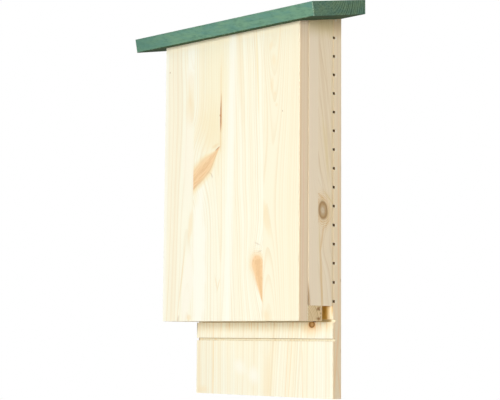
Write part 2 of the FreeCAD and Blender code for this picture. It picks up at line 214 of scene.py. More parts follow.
class Sheet(Nodes):
    """The nodes of one finish, with short ways to add them."""

    def __init__(self, name: str, bottom: float) -> None:
        """Starts a material and finds where each point of the surface is.

        Args:
            name: The material's name.
            bottom: The row frame's z at the back board's bottom edge, in metres.
        """
        self.material = bpy.data.materials.new(name)
        self.material.use_nodes = True
        super().__init__(self.material.node_tree)
        place = self.node("ShaderNodeTexCoord").outputs["Object"]
        self.x, self.y, height = [part * MILLIMETRES for part in self.apart(place)]
        self.z = height - bottom * MILLIMETRES
        facing = self.node("ShaderNodeNewGeometry").outputs["True Normal"]
        self.facing_x, self.facing_y, self.facing_z = self.apart(facing)

    def apart(self, vector: Socket) -> list[Value]:
        """Splits a vector into its three parts."""
        node = self.node("ShaderNodeSeparateXYZ", {}, {0: vector})
        return [Value(self, socket) for socket in node.outputs]

    def point(self, x: Number, y: Number, z: Number) -> Socket:
        """Joins three values or numbers into a vector."""
        return self.node("ShaderNodeCombineXYZ", {}, {0: x, 1: y, 2: z}).outputs[0]

    def noise(self, place: Socket, detail: float = 2.0, rough: float = 0.5) -> Value:
        """Gives smooth noise.

        Args:
            place: The point, scaled so that one unit is about one lump.
            detail: How many finer layers are added.
            rough: How strong the finer layers are.

        Returns:
            A value that stays mostly between 0.25 and 0.75.
        """
        sockets = {"Vector": place, "Scale": 1.0, "Detail": detail, "Roughness": rough}
        node = self.node("ShaderNodeTexNoise", {"noise_dimensions": "3D"}, sockets)
        return Value(self, node.outputs[0])

    def chance(self, number: Value) -> Value:
        """Gives each whole number its own value between 0 and 1."""
        node = self.node("ShaderNodeTexWhiteNoise", {"noise_dimensions": "1D"}, {"W": number})
        return Value(self, node.outputs[0])

    def laid(self, share: Number, under: Colour, over: Colour, blend: Blend = Blend.COVER) -> Socket:
        """Lays one colour over another.

        Args:
            share: How much of the upper colour shows, from 0 to 1.
            under: The lower colour.
            over: The upper colour.
            blend: How the two are combined.

        Returns:
            The combined colour.
        """
        settings = {"data_type": "RGBA", "blend_type": blend.value, "clamp_factor": True}
        return self.node("ShaderNodeMix", settings, {0: share, 6: under, 7: over}).outputs[2]

    def painted(self, share: Number, under: Colour, shade: Shade) -> Socket:
        """Covers a colour with a shade as the eye sees it."""
        return self.laid(share, under, paint(shade))

    def tinted(self, share: Number, under: Socket, tint: Tint) -> Socket:
        """Darkens a colour by a tint."""
        return self.laid(share, under, (*tint.value, 1.0), Blend.DARKEN)

    def flank(self) -> Value:
        """Gives the mask of the faces to the left and to the right."""
        return abs(self.facing_x).ramp(0.5, 0.9)

    def arris(self) -> Value:
        """Gives the mask of the slanting faces along the upright corners."""
        return abs(self.facing_x).ramp(0.3, 0.5) * abs(self.facing_y).ramp(0.3, 0.5)

    def finish(
        self, colour: Socket, roughness: Number, height: Value, relief: float, fixed: Mapping[str, float]
    ) -> bpy.types.Material:
        """Ends the sheet with the surface shader.

        Args:
            colour: The base colour.
            roughness: The roughness, as a value or a number.
            height: The bump's height, from 0 to 1.
            relief: How many metres of relief a height of 1 is.
            fixed: The shader's other sockets, with one number each.

        Returns:
            The finished material.
        """
        bumped = {"Strength": 1.0, "Distance": relief, "Height": height}
        normal = self.node("ShaderNodeBump", {}, bumped).outputs[0]
        sockets = {"Base Color": colour, "Roughness": roughness, "Normal": normal}
        shader = self.node("ShaderNodeBsdfPrincipled", {}, {**sockets, **fixed})
        self.node("ShaderNodeOutputMaterial", {}, {"Surface": shader.outputs[0]})
        return self.material


@dataclass(frozen=True)
class Stave:
    """One glued strip of a panel, and where in its log it was sawn, in millimetres."""

    edge: float
    heart: float
    deep: float
    waist: float = 290.0
    curve: float = 1e-4
    lean: float = 0.0
    ring: float = 2.8
    late: float = 0.5
    warm: float = 0.4


@dataclass(frozen=True)
class Push:
    """A place where the grain swings aside, as it does round a branch."""

    across: float
    along: float
    half_width: float
    half_length: float
    shift: float
    between: tuple[float, float] = EVERYWHERE


@dataclass(frozen=True)
class Mark:
    """A soft-edged patch of another colour in the wood."""

    across: float
    along: float
    half_width: float
    half_length: float
    shade: Shade
    strength: float
    tilt: float = 0.0
    soft: float = 0.6
    between: tuple[float, float] = EVERYWHERE


class KnotShape(Enum):
    """How a branch was cut by the board's face."""

    ROUND = "straight across the branch"
    TEAR = "across the branch at a slant"
    SPIKE = "along the branch"


@dataclass(frozen=True)
class Knot:
    """A branch that shows in the face of a board.

    A spike starts as a point at its place and runs up its tilt: above is its length, and below is
    how far it runs until it is full width.
    """

    across: float
    along: float
    half_width: float
    above: float
    below: float
    core: Shade
    rim: Shade
    tilt: float = 0.0
    bow: float = 0.0
    rings: float = 5.0
    halo: Shade = (247, 219, 172)
    soft: float = 0.08
    bark: float = 0.0
    swirl: float = 0.0
    streaks: float = 0.45
    spread: float = 0.1
    shape: KnotShape = KnotShape.ROUND
    between: tuple[float, float] = EVERYWHERE


@dataclass
class Timber:
    """The figure of one board: its staves, its marks, its knots and the scars over them."""

    staves: tuple[Stave, ...]
    pushes: tuple[Push, ...] = ()
    marks: tuple[Mark, ...] = ()
    knots: tuple[Knot, ...] = ()
    scars: tuple[Mark, ...] = ()
    seed: float = 0.0
    wander: float = 7.0
    uneven: float = 3.0


def turned(across: Value, along: Value, tilt: float) -> tuple[Value, Value]:
    """Turns a flat place about its origin.

    Args:
        across: The distance to the right.
        along: The distance up.
        tilt: The turn in degrees. A positive one leans the along axis to the right.

    Returns:
        The distances across and along the turned axes.
    """
    if tilt == 0.0:
        return across, along
    cosine, sine = math.cos(math.radians(tilt)), math.sin(math.radians(tilt))
    return across * cosine - along * sine, across * sine + along * cosine


def oval(a: Value, b: Value, half_width: Number, half_length: float) -> Value:
    """Gives the squared distance from an oval's middle, where its outline is at 1."""
    return (a / half_width).squared() + (b / half_length).squared()


@dataclass(frozen=True)
class Cut:
    """What a board's face shows of a branch.

    The reach is 0 along its middle and 1 at its outline, which is blurred by soft. The turn goes
    from 0 at the core's colour to 1 at the rim's, and bark can lie where crusty is above 0.
    """

    reach: Value
    turn: Value
    streaks: Value
    soft: Number
    crusty: Number


class Grain:
    """Rings, fibres, marks and knots of one board, on the sheet of its finish."""

    def __init__(self, sheet: Sheet, timber: Timber, across: Value, along: Value, depth: Number) -> None:
        """Works out the rings from where each point lay in the log.

        Args:
            sheet: The sheet that the nodes are added to.
            timber: The board's figure.
            across: Distance across the grain, over the face.
            along: Distance along the grain.
            depth: Distance behind the face.
        """
        self.sheet, self.timber = sheet, timber
        self.across, self.along, self.depth = across, along, depth
        self.steps = [across.above(stave.edge) for stave in timber.staves[1:]]
        seed = timber.seed
        index: Number = sum(self.steps)
        drift = sheet.noise(sheet.point(across * 0.011, along * 0.0042, index * 5.3 + seed), 2.0)
        self.wobble = sheet.noise(sheet.point(across * 0.09, along * 0.035, depth * 0.09), 2.0)
        waist = self.picked("waist")
        rise = along - waist
        aside = across - self.picked("heart") - rise * self.picked("lean")
        aside = aside + (drift - 0.5) * (2.0 * timber.wander)
        for push in timber.pushes:
            aside = aside + self.swing(push)
        behind = depth - self.picked("deep") + rise.squared() * self.picked("curve")
        reach = (aside.squared() + behind.squared()).root()
        uneven = sheet.noise(sheet.point(reach * 0.14, index * 3.1, seed + 4.0), 2.0)
        rings = reach / self.picked("ring") + uneven * timber.uneven
        year = rings.whole()
        part = rings - year
        vigour = sheet.chance(year + index * 37.0)
        profile = part.ramp(0.4, 0.92) * part.ramp(1.0, 0.95)
        self.late = profile * (vigour * 0.55 + 0.45) * self.picked("late")
        self.band = sheet.noise(sheet.point(reach * 0.11, along * 0.0012, index * 7.7 + seed), 2.0)
        self.fibre = sheet.noise(sheet.point(aside * 1.3, along * 0.022, depth * 1.3), 3.0, 0.6)
        self.silk = sheet.noise(sheet.point(aside * 0.35, along * 0.008, depth * 0.35), 2.0)

    def picked(self, size: str) -> Number:
        """Gives a stave's size as it changes from strip to strip.

        Args:
            size: The name of the stave's field.

        Returns:
            One number where all staves agree, and otherwise a value.
        """
        sizes = [getattr(stave, size) for stave in self.timber.staves]
        total: Number = sizes[0]
        for step, before, after in zip(self.steps, sizes, sizes[1:]):
            if after != before:
                total = step * (after - before) + total
        return total

    def swing(self, push: Push) -> Value:
        """Gives the sideways shift of the grain round one place."""
        a, b = self.across - push.across, self.along - push.along
        shift = oval(a, b, push.half_width, push.half_length).bell() * push.shift
        return self.within(shift, push.between)

    def within(self, value: Value, between: tuple[float, float]) -> Value:
        """Keeps a mask between two places across the board.

        Args:
            value: The mask.
            between: The lowest and highest place across, where it is kept.

        Returns:
            The mask, cut off sharply at those places.
        """
        low, high = between
        if low > -FAR:
            value = value * self.across.above(low)
        if high < FAR:
            value = value * (1.0 - self.across.above(high))
        return value

    def marked(self, mark: Mark) -> Value:
        """Gives the mask of one soft patch."""
        a, b = turned(self.across - mark.across, self.along - mark.along, mark.tilt)
        reach = oval(a, b, mark.half_width, mark.half_length).root() + (self.wobble - 0.5) * 0.8
        return self.within(reach.ramp(1.0 + mark.soft, 1.0 - mark.soft) * mark.strength, mark.between)

    def patched(self, marks: Sequence[Mark], colour: Socket) -> Socket:
        """Lays soft patches over a colour, one after the other."""
        for mark in marks:
            colour = self.sheet.painted(self.marked(mark), colour, mark.shade)
        return colour

    def spike(self, knot: Knot) -> Cut:
        """Shapes a branch that was cut along its length.

        Args:
            knot: The branch.

        Returns:
            What shows of it.
        """
        sheet = self.sheet
        a, b = turned(self.across - knot.across, self.along - knot.along, knot.tilt)
        run = b / knot.above
        a = a + run * (1.0 - run) * (4.0 * knot.bow)
        width = b.ramp(-1.0, knot.below) * knot.half_width + 0.2
        reach = abs(a) / width + b.ramp(1.0, -4.0) * 3.0
        turn = abs(a / width + 0.1).ramp(0.35, 1.05)
        streaks = sheet.noise(sheet.point(a * 0.34, b * 0.05, 1.7), 3.0, 0.65)
        upper = a.above(0.0)
        soft = upper * (knot.soft - 0.14) + 0.14
        return Cut(reach, turn, streaks, soft, 1.0 - upper)

    def disc(self, knot: Knot) -> Cut:
        """Shapes a branch that was cut across, straight or at a slant.

        Args:
            knot: The branch.

        Returns:
            What shows of it.
        """
        sheet = self.sheet
        a, b = turned(self.across - knot.across, self.along - knot.along, knot.tilt)
        width: Number = knot.half_width
        if knot.shape is KnotShape.TEAR:
            width = (b.least(0.0) / knot.below + 1.0).most(0.03) * knot.half_width
            b = b.most(0.0)
        reach = oval(a, b, width, knot.above).root()
        turn = reach.ramp(knot.spread, knot.spread + 0.65)
        streaks = sheet.noise(sheet.point(a * 0.30, self.along * 0.12, 5.1), 3.0, 0.6)
        return Cut(reach, turn, streaks, knot.soft, 1.0)

    def knotted(self, knot: Knot, colour: Socket) -> Socket:
        """Lays one knot over the wood.

        Args:
            knot: The branch.
            colour: The wood's colour round it.

        Returns:
            The colour with the knot in it.
        """
        sheet = self.sheet
        cut = self.spike(knot) if knot.shape is KnotShape.SPIKE else self.disc(knot)
        reach = cut.reach + (self.wobble - 0.5) * 0.3
        inside = self.within(reach.ramp(cut.soft + 1.0, 1.0 - cut.soft), knot.between)
        halo = self.within(reach.ramp(1.75, 1.0) * 0.6, knot.between)
        colour = sheet.painted(halo, colour, knot.halo)
        if knot.swirl > 0.0:
            turns = reach * 4.5 + (self.wobble - 0.5) * 2.0
            turns = turns - turns.whole()
            lines = turns.ramp(0.4, 0.85) * turns.ramp(1.0, 0.9)
            near = reach.ramp(1.0, 1.2) * reach.ramp(2.7, 1.3) * knot.swirl
            colour = sheet.tinted(self.within(lines * near, knot.between), colour, Tint.KNOT_SWIRL)
        ring = reach * knot.rings + cut.streaks * 1.5
        ring = (ring - ring.whole()).ramp(0.2, 0.9)
        body = sheet.painted(cut.turn, paint(knot.core), knot.rim)
        body = sheet.tinted(ring * 0.22, body, Tint.KNOT_RING)
        body = sheet.tinted(cut.streaks.ramp(0.5, 0.72) * knot.streaks, body, Tint.KNOT_STREAK)
        body = sheet.tinted(reach.ramp(0.66, 0.9) * cut.crusty * knot.bark, body, Tint.BARK)
        return sheet.laid(inside, colour, body)


@dataclass(frozen=True)
class PineFinish:
    """Bare planed softwood, built from a board's figure."""

    early: Shade = (251, 248, 227)
    late: Shade = (230, 205, 158)
    band: Shade = (249, 236, 201)
    fibre: Shade = (249, 241, 228)
    side: Shade = (251, 233, 220)
    end: Shade = (248, 226, 196)
    end_pore: Shade = (222, 190, 150)
    lines: float = 0.35
    gloss: float = 0.22
    roughness: float = 0.62
    relief: float = 0.00016

    def face(self, grain: Grain) -> Socket:
        """Builds the face's colour from bands, rings, fibres, marks and knots.

        Args:
            grain: The board's figure on its sheet.

        Returns:
            The colour of the planed face.
        """
        sheet, timber = grain.sheet, grain.timber
        banded = grain.band.ramp(0.36, 0.68) * grain.picked("warm")
        colour = sheet.painted(banded, paint(self.early), self.band)
        colour = sheet.painted(grain.late, colour, self.late)
        lines = grain.fibre.ramp(0.45, 0.8) * self.lines
        colour = sheet.laid(lines, colour, paint(self.fibre), Blend.DARKEN)
        colour = grain.patched(timber.marks, colour)
        for knot in timber.knots:
            colour = grain.knotted(knot, colour)
        return grain.patched(timber.scars, colour)

    def upright(self, grain: Grain, edge: Timber | None = None) -> Socket:
        """Builds the colour of an upright board: its face, its sawn sides and its end grain.

        Args:
            grain: The board's figure on its sheet.
            edge: The figure of the sides that face left and right, or None where there are none.

        Returns:
            The colour of the whole board.
        """
        sheet = grain.sheet
        colour = self.face(grain)
        if edge is not None:
            side = Grain(sheet, edge, sheet.y, sheet.z, sheet.x * 0.2)
            warm = sheet.laid(1.0, self.face(side), paint(self.side), Blend.DARKEN)
            colour = sheet.laid(sheet.flank(), colour, warm)
        pores = sheet.noise(sheet.point(grain.across * 2.2, grain.along * 0.4, grain.depth * 2.2), 3.0)
        ended = sheet.painted(pores.ramp(0.35, 0.75), paint(self.end), self.end_pore)
        return sheet.laid(abs(sheet.facing_z).ramp(0.5, 0.9), colour, ended, Blend.DARKEN)

    def closed(self, grain: Grain, colour: Socket, rough: Value | None = None) -> bpy.types.Material:
        """Adds the planed wood's roughness and relief, and ends the sheet.

        Args:
            grain: The board's figure on its sheet.
            colour: The colour of the whole board.
            rough: Extra unevenness where the wood was sawn and not planed, from 0 to 1.

        Returns:
            The finished material.
        """
        height = grain.fibre * 0.55 + grain.silk * 0.25 - grain.late * 0.25
        roughness = self.roughness + grain.late * -0.12
        if rough is not None:
            height = height + rough
            roughness = roughness + rough * 0.3
        fixed = {"Specular IOR Level": self.gloss}
        return grain.sheet.finish(colour, roughness, height, self.relief, fixed)


@dataclass(frozen=True)
class Packed:
    """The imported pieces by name, and the z of the back board's bottom edge in metres."""

    nodes: Mapping[str, bpy.types.Object]
    bottom: float

    def put_on(self, name: str, material: bpy.types.Material) -> None:
        """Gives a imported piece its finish, in every slot that it has.

        Args:
            name: The piece.
            material: Its finish.
        """
        for slot in self.nodes[name].material_slots:
            slot.material = material
        log.info("dressed %s with %s", name, material.name)


@dataclass
class FrontBoard:
    """The glued front panel with its two knots and its resin pocket."""

    glue: tuple[float, float, float] = (-67, 0, 63)
    pocket_across: float = -15.7
    pocket_height: float = 377
    pocket_length: float = 50
    resin: Shade = (206, 128, 62)

    def timber(self) -> Timber:
        """Describes the panel's four staves with what grew in them, and a warm shade painted under the
        roof.
        """
        glue = self.glue
        left, right = (-FAR, glue[0]), (glue[2], FAR)
        second, third = (glue[0], 0), (0, glue[2])
        pale, amber = (253, 251, 236), (245, 224, 181)
        honey, brown = (236, 206, 150), (176, 132, 84)
        staves = (
            Stave(-FAR, -73, 17, 300, 3.2e-4, 0.02, 4.4, 0.42, 0.22),
            Stave(glue[0], -15.7, 4, 365, -0.8e-4, 0, 4.4, 0.38, 0.45),
            Stave(0, 130, 30, 290, 0.5e-4, -0.05, 4.4, 0.4, 0.3),
            Stave(glue[2], 77.5, 18.8, 290, 3.3e-4, 0.02, 3.4, 0.52, 0.3),
        )
        pushes = (
            Push(-66, 316, 34, 50, 24, second),
            Push(62, 165, 26, 46, 17, third),
            Push(62, 240, 20, 60, 9, right),
            Push(-88, 250, 16, 60, 6, left),
        )
        marks = (
            Mark(-72.5, 458, 8, 38, pale, 0.6, 0, 0.4, left),
            Mark(-74, 393, 8, 22, amber, 0.4, 0, 0.6, left),
            Mark(-73, 420, 7.4, 24, amber, 0.3, 0, 0.5, left),
            Mark(-77, 318, 11, 58, (252, 245, 225), 0.6, 0, 0.5, left),
            Mark(-71.5, 230, 4.4, 20, amber, 0.5, 6, 0.5, left),
            Mark(-75, 152, 10, 52, (252, 247, 229), 0.85, 6, 0.3, left),
            Mark(-89, 150, 1.2, 46, honey, 0.4, 8, 0.6, left),
            Mark(-105, 270, 12, 300, (252, 240, 211), 0.3, 0, 0.6, left),
            Mark(-124, 290, 5, 400, pale, 0.85, 0, 0.6, left),
            Mark(-72.5, 105, 4, 4, amber, 0.5, 0, 0.5, left),
            Mark(-93.5, 103, 1.8, 5, brown, 0.28, 10, 0.6, left),
            Mark(-116, 450, 0.9, 1.2, brown, 0.6, 0, 0.5, left),
            Mark(-24, 420, 24, 110, (248, 237, 200), 0.55, 0, 0.6, second),
            Mark(-38, 362, 21, 34, (246, 229, 187), 0.5, 0, 0.8, second),
            Mark(-54, 170, 12, 116, pale, 0.85, 0, 0.35, second),
            Mark(-15.2, 379, 1.5, 27, (216, 160, 104), 0.9, 0, 0.4, second),
            Mark(-16.6, 378, 1.6, 1.4, (206, 150, 96), 0.7, 0, 0.4, second),
            Mark(-15.4, 344, 1.5, 16, honey, 0.65, 0, 0.6, second),
            Mark(-15.7, 424, 1.6, 30, (244, 222, 176), 0.5, 0, 0.6, second),
            Mark(-25, 337, 6, 2, honey, 0.4, -20, 0.8, second),
            Mark(-34.3, 300.3, 0.9, 3, brown, 0.3, -58, 0.7, second),
            Mark(-31.2, 296.5, 0.9, 2.8, brown, 0.35, -22, 0.7, second),
            Mark(-13, 250, 1, 190, amber, 0.3, 0, 0.6, second),
            Mark(-21.2, 151, 0.8, 9, honey, 0.35, -14, 0.7, second),
            Mark(-16.6, 149, 0.8, 8, honey, 0.4, 18, 0.7, second),
            # Painted shade: a warm band just under the roof, standing in for the shade and warm bounce
            # there.
            Mark(0, 488, 400, 8, (255, 240, 204), 0.6, 0, 0.9),
            Mark(2.8, 290, 6.2, 400, pale, 0.75, 1.1, 0.7),
            Mark(19, 455, 4.5, 95, amber, 0.35, -4, 0.6, third),
            Mark(51, 438, 1.3, 60, (244, 224, 170), 0.5, -3, 0.6, third),
            Mark(53.5, 200.5, 4.2, 0.9, brown, 0.25, 22, 0.8, third),
            Mark(57.5, 190.5, 3.8, 0.8, brown, 0.3, -12, 0.8, third),
            Mark(62.4, 112, 0.8, 12, honey, 0.4, 0, 0.6, third),
            Mark(94, 290, 40, 900, (246, 235, 203), 0.5, 0, 0.1, right),
            Mark(75.5, 461, 2.6, 6, amber, 0.4, 12, 0.7, right),
            Mark(89.5, 458, 1.6, 34, amber, 0.35, 4, 0.7, right),
            Mark(80.5, 441, 3.6, 8, amber, 0.4, -8, 0.7, right),
            Mark(77.5, 409, 2.6, 9, amber, 0.4, 4, 0.7, right),
            Mark(82.5, 396, 2, 2.6, amber, 0.4, 0, 0.7, right),
            Mark(85.5, 381, 2, 2.4, amber, 0.4, 0, 0.7, right),
            Mark(95.7, 371.6, 0.8, 1.1, brown, 0.5, 0, 0.6, right),
            Mark(68.5, 234, 5.2, 22, amber, 0.45, -14, 0.4, right),
            Mark(70, 106, 4, 8, amber, 0.4, -20, 0.6, right),
        )
        knots = (
            Knot(
                -15.5, 336, 11.4, 66, 42, (244, 209, 162), (248, 220, 176),
                tilt=-130.1, bow=1.4, rings=1.2, halo=(245, 221, 170), soft=0.3, bark=0.1,
                streaks=0.24, shape=KnotShape.SPIKE, between=second,
            ),
            Knot(
                54, 173, 10.2, 12.5, 51, (243, 205, 156), (246, 212, 166),
                tilt=-10.1, rings=0.6, soft=0.14, swirl=0.3, streaks=0.2, spread=0.4,
                shape=KnotShape.TEAR, between=third,
            ),
        )
        scars = (
            Mark(-21, 333, 0.9, 4.2, (186, 120, 72), 0.7, 55, 0.6, second),
            Mark(-41, 310, 0.8, 9, (226, 172, 116), 0.25, 50, 0.7, second),
            Mark(-50, 298, 0.8, 10, (224, 168, 112), 0.3, 56, 0.7, second),
            Mark(-59, 290.5, 0.8, 9, (222, 164, 108), 0.3, 66, 0.7, second),
        )
        return Timber(staves, pushes, marks, knots, scars, seed=2)

    def edge(self) -> Timber:
        """Describes the sawn sides, where the rings lie almost flat."""
        straw = (236, 216, 170)
        marks = (
            Mark(-84, 300, 1, 300, straw, 0.45),
            Mark(-70.4, 300, 0.8, 300, straw, 0.3),
            Mark(-77.5, 240, 1.6, 120, (251, 230, 210), 0.35, 0.6, 0.8),
        )
        staves = (Stave(-FAR, -160, 4, 300, 0.1e-4, 0.006, 1.9, 0.6, 0.4),)
        return Timber(staves, (), marks, wander=1.5)

    def dress(self, packed: Packed) -> None:
        """Gives the front board its wood.

        Args:
            packed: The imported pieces.
        """
        lowest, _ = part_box("front_board")
        sheet = Sheet("pine_front_board", packed.bottom)
        depth = sheet.y - lowest.y * MILLIMETRES
        grain = Grain(sheet, self.timber(), sheet.x, sheet.z, depth)
        finish = PineFinish()
        half = self.pocket_length * 0.5
        aside = abs(sheet.x - self.pocket_across).ramp(1.3, 0.9)
        length = abs(sheet.z - self.pocket_height).ramp(half + 1.0, half)
        sunk = depth.ramp(0.1, 0.5) * depth.ramp(3.0, 2.5)
        colour = finish.upright(grain, self.edge())
        colour = sheet.painted(aside * length * sunk, colour, self.resin)
        packed.put_on("front_board", finish.closed(grain, colour))


@dataclass
class BackBoard:
    """The wide back board, which is also the landing board, with its ladder of saw kerfs."""

    half_width: float = 125.0
    kerf_depth: float = 5.0
    kerf_width: float = 3.5
    kerf_first: float = 76.0
    kerf_spacing: float = 25.0
    landing_top: float = 100.0
    strip_top: float = 120.0
    dark_left_edge: Shade = (168, 152, 122)
    # The painted highlight of pale torn fibres beside the kerfs' ends.
    torn_fibre_highlight: Shade = (255, 246, 226)
    finish: PineFinish = PineFinish(side=(253, 238, 224))

    def timber(self) -> Timber:
        """Describes the board's staves with what shows on the landing."""
        pale, amber = (253, 251, 238), (246, 226, 186)
        staves = (
            Stave(-FAR, -210, 20, 60, 0.3e-4, 0, 4.6, 0.31, 0.4),
            Stave(-50, -160, 26, 60, 0.3e-4, 0, 4, 0.22, 0.3),
            Stave(12, 150, 20, 60, 0.4e-4, 0.07, 4.8, 0.38, 0.4),
            Stave(74, 190, 24, 60, 0.3e-4, 0, 5.2, 0.35, 0.4),
        )
        marks = (
            Mark(-91.5, 40, 1.3, 60, (246, 220, 170), 0.6, 0, 0.7),
            Mark(-40, 38, 10, 8, pale, 0.6, 30, 0.8),
            Mark(-14, 27, 8, 10, pale, 0.7, -20, 0.8),
            Mark(11, 15, 7, 40, amber, 0.5, 0, 0.9),
            Mark(46, 40, 1.2, 60, amber, 0.7, 4, 0.6),
            Mark(52.5, 45, 1, 55, amber, 0.7, 4.5, 0.6),
            Mark(73, 35, 0.9, 60, amber, 0.6, -1.5, 0.6),
            Mark(104, 60, 12, 60, pale, 0.3, 0, 0.8),
            Mark(-119, 30, 4, 60, amber, 0.5),
            Mark(-112, 5, 9, 5, amber, 0.5, 0, 0.8),
            Mark(89.5, 91, 11, 9, (246, 208, 152), 0.5, 0, 0.9),
        )
        knots = (
            Knot(
                89.7, 96.3, 5, 4.6, 4.6, (214, 174, 116), (174, 128, 72),
                rings=1.2, halo=(238, 190, 124), soft=0.16, bark=0.75,
            ),
        )
        pushes = (Push(94, 98, 6, 18, -5),)
        return Timber(staves, pushes, marks, knots, seed=31, wander=5)

    def edge(self) -> Timber:
        """Describes the board's sawn sides, with the warm streaks near the wall and a shade painted
        under the roof.
        """
        orange, grey = (250, 220, 170), (238, 228, 206)
        marks = (
            Mark(-6.2, 215, 1.8, 130, orange, 0.5, 0, 0.8),
            Mark(-9, 62, 1.8, 46, orange, 0.5, 7, 0.8),
            Mark(-5, 20, 1.2, 26, orange, 0.5, -9, 0.7),
            Mark(-14.8, 60, 1.2, 60, orange, 0.5, 0, 0.7),
            Mark(-9, 430, 1, 70, grey, 0.6, 0, 0.7),
            Mark(-2.5, 330, 1.4, 200, grey, 0.5, 0, 0.7),
            Mark(-2.2, 154, 0.7, 2, (196, 170, 138), 0.6),
            Mark(-2, 62, 0.7, 3, (206, 180, 146), 0.5),
            # Painted shade: a darker, yellower band under the roof.
            Mark(0, 497, 400, 14, (222, 198, 140), 0.5, 0, 0.9),
        )
        staves = (Stave(-FAR, 60, 4, 300, 0.1e-4, 0, 2.1, 0.4, 0.3),)
        return Timber(staves, (), marks, seed=9, wander=1.5)

    def sawn(self, sheet: Sheet, depth: Value) -> Value:
        """Finds the walls and floors of the kerfs.

        Args:
            sheet: The sheet that the nodes are added to.
            depth: Distance behind the board's face.

        Returns:
            The mask of the kerfs' inside.
        """
        floor = self.kerf_depth + 0.3
        return depth.ramp(0.2, 0.6) * depth.ramp(floor + 0.4, floor) * (1.0 - sheet.flank())

    def covered(self, sheet: Sheet) -> Value:
        """Gives the mask of the part behind the chamber, above the landing."""
        return sheet.z.ramp(self.landing_top + 5.0, self.landing_top + 15.0)

    def kerfed(self, sheet: Sheet, sawn: Value, colour: Socket) -> Socket:
        """Tints the kerfs as sawn wood, darkens their left ends and the lowest one's chipped lower rim,
        and paints shade at its upper rim, in the kerfs from the entrance up and deepest inside the
        chamber.

        Args:
            sheet: The sheet that the nodes are added to.
            sawn: The mask of the kerfs' inside.
            colour: The board's colour.

        Returns:
            The colour with the kerfs in it.
        """
        half = self.kerf_width * 0.5
        upper, lower = self.kerf_first + half, self.kerf_first - half
        chips = sheet.noise(sheet.point(sheet.x * 0.9, sheet.z * 0.2, sheet.y * 1.5), 2.0)
        top = sheet.z.ramp(upper - 1.0, upper - 0.5)
        low = sheet.z.ramp(lower + 0.6, lower + 0.2)
        lowest = sheet.z.ramp(self.kerf_first + 16.0, self.kerf_first + 14.0)
        # The lowest kerf's rim: a painted shadow line along its upper edge, and its chipped lower edge
        # darkened.
        rim = top.most(low * chips.ramp(0.4, 0.6) * 0.5) * lowest
        left = sheet.x.ramp(3.0 - self.half_width, 1.6 - self.half_width)
        # Painted shade in the kerfs from the entrance up, away from the board's sides.
        upper_kerf_shade = sheet.z.ramp(self.landing_top - 3.0, self.landing_top - 2.0)
        upper_kerf_shade = upper_kerf_shade * abs(sheet.x).ramp(self.half_width - 4.0, self.half_width - 10.0)
        inner = abs(sheet.x).ramp(self.half_width - 0.3, self.half_width - 1.0)
        colour = sheet.tinted(sawn, colour, Tint.KERF)
        colour = sheet.tinted(sawn * rim, colour, Tint.KERF_RIM_SHADE)
        colour = sheet.tinted(sawn * left, colour, Tint.KERF_LEFT_END)
        colour = sheet.tinted(sawn * upper_kerf_shade, colour, Tint.KERF_UPPER_SHADE)
        # Painted shade deep in the kerfs inside the chamber.
        return sheet.tinted(sawn * self.covered(sheet) * inner, colour, Tint.KERF_CHAMBER_SHADE)

    def shaded_under_front(self, sheet: Sheet, front: Value, colour: Socket) -> Socket:
        """Adds painted warm shade at the entrance and under the front board, and darkens the landing's
        left edge.

        Args:
            sheet: The sheet that the nodes are added to.
            front: The mask of the front face.
            colour: The board's colour.

        Returns:
            The colour with these in it.
        """
        half, kerf, top = self.half_width, self.kerf_first, self.landing_top
        # Painted shade: warm amber on the board where it is seen through the entrance.
        entrance_shade = sheet.z.ramp(top, top + 4.0) * sheet.z.ramp(self.strip_top + 4.0, self.strip_top)
        entrance_shade = entrance_shade * sheet.x.ramp(half - 3.0, half - 13.0)
        # Painted shade: a warm tint with darker fibre streaks on the landing under the front board.
        threads = sheet.noise(sheet.point(sheet.x * 0.8, sheet.z * 0.03, 3.3), 3.0, 0.7)
        near = sheet.z.ramp(kerf + 4.0, top - 2.0) * front
        # A dark strip along the landing's left edge, slanting outwards towards the top.
        slant = sheet.x - (sheet.z - (kerf + 2.0)) * 0.09
        dark_left_edge = slant.ramp(1.4 - half, 0.2 - half)
        dark_left_edge = dark_left_edge * sheet.z.ramp(kerf, kerf + 6.0) * sheet.z.ramp(top + 2.5, top + 1.0)
        colour = sheet.tinted(front * entrance_shade, colour, Tint.ENTRANCE_SHADE)
        colour = sheet.tinted(near * 0.4, colour, Tint.UNDER_FRONT_SHADE)
        colour = sheet.tinted(near * threads.ramp(0.5, 0.68), colour, Tint.THREAD)
        return sheet.painted(dark_left_edge * front * 0.9, colour, self.dark_left_edge)

    def seamed(self, sheet: Sheet, depth: Value, colour: Socket) -> Socket:
        """Adds painted shade in the seam along the battens, and a painted highlight of pale torn fibres
        at the kerfs' ends.

        Args:
            sheet: The sheet that the nodes are added to.
            depth: Distance behind the board's face.
            colour: The board's colour.

        Returns:
            The colour with these in it.
        """
        covered = self.covered(sheet)
        # Painted shade on the slanting corners in the seam along the battens.
        colour = sheet.tinted(sheet.arris() * covered * depth.ramp(1.2, 1.0), colour, Tint.SEAM)
        # A painted highlight of pale torn fibres beside each kerf's end.
        beat = (sheet.z - self.kerf_first) / self.kerf_spacing
        beat = abs(beat - (beat + 0.5).whole()) * self.kerf_spacing
        fibre_highlight = beat.ramp(2.2, 1.4) * abs(depth - (self.kerf_depth + 0.9)).ramp(1.3, 0.7)
        return sheet.painted(fibre_highlight * sheet.flank() * covered * 0.9, colour, self.torn_fibre_highlight)

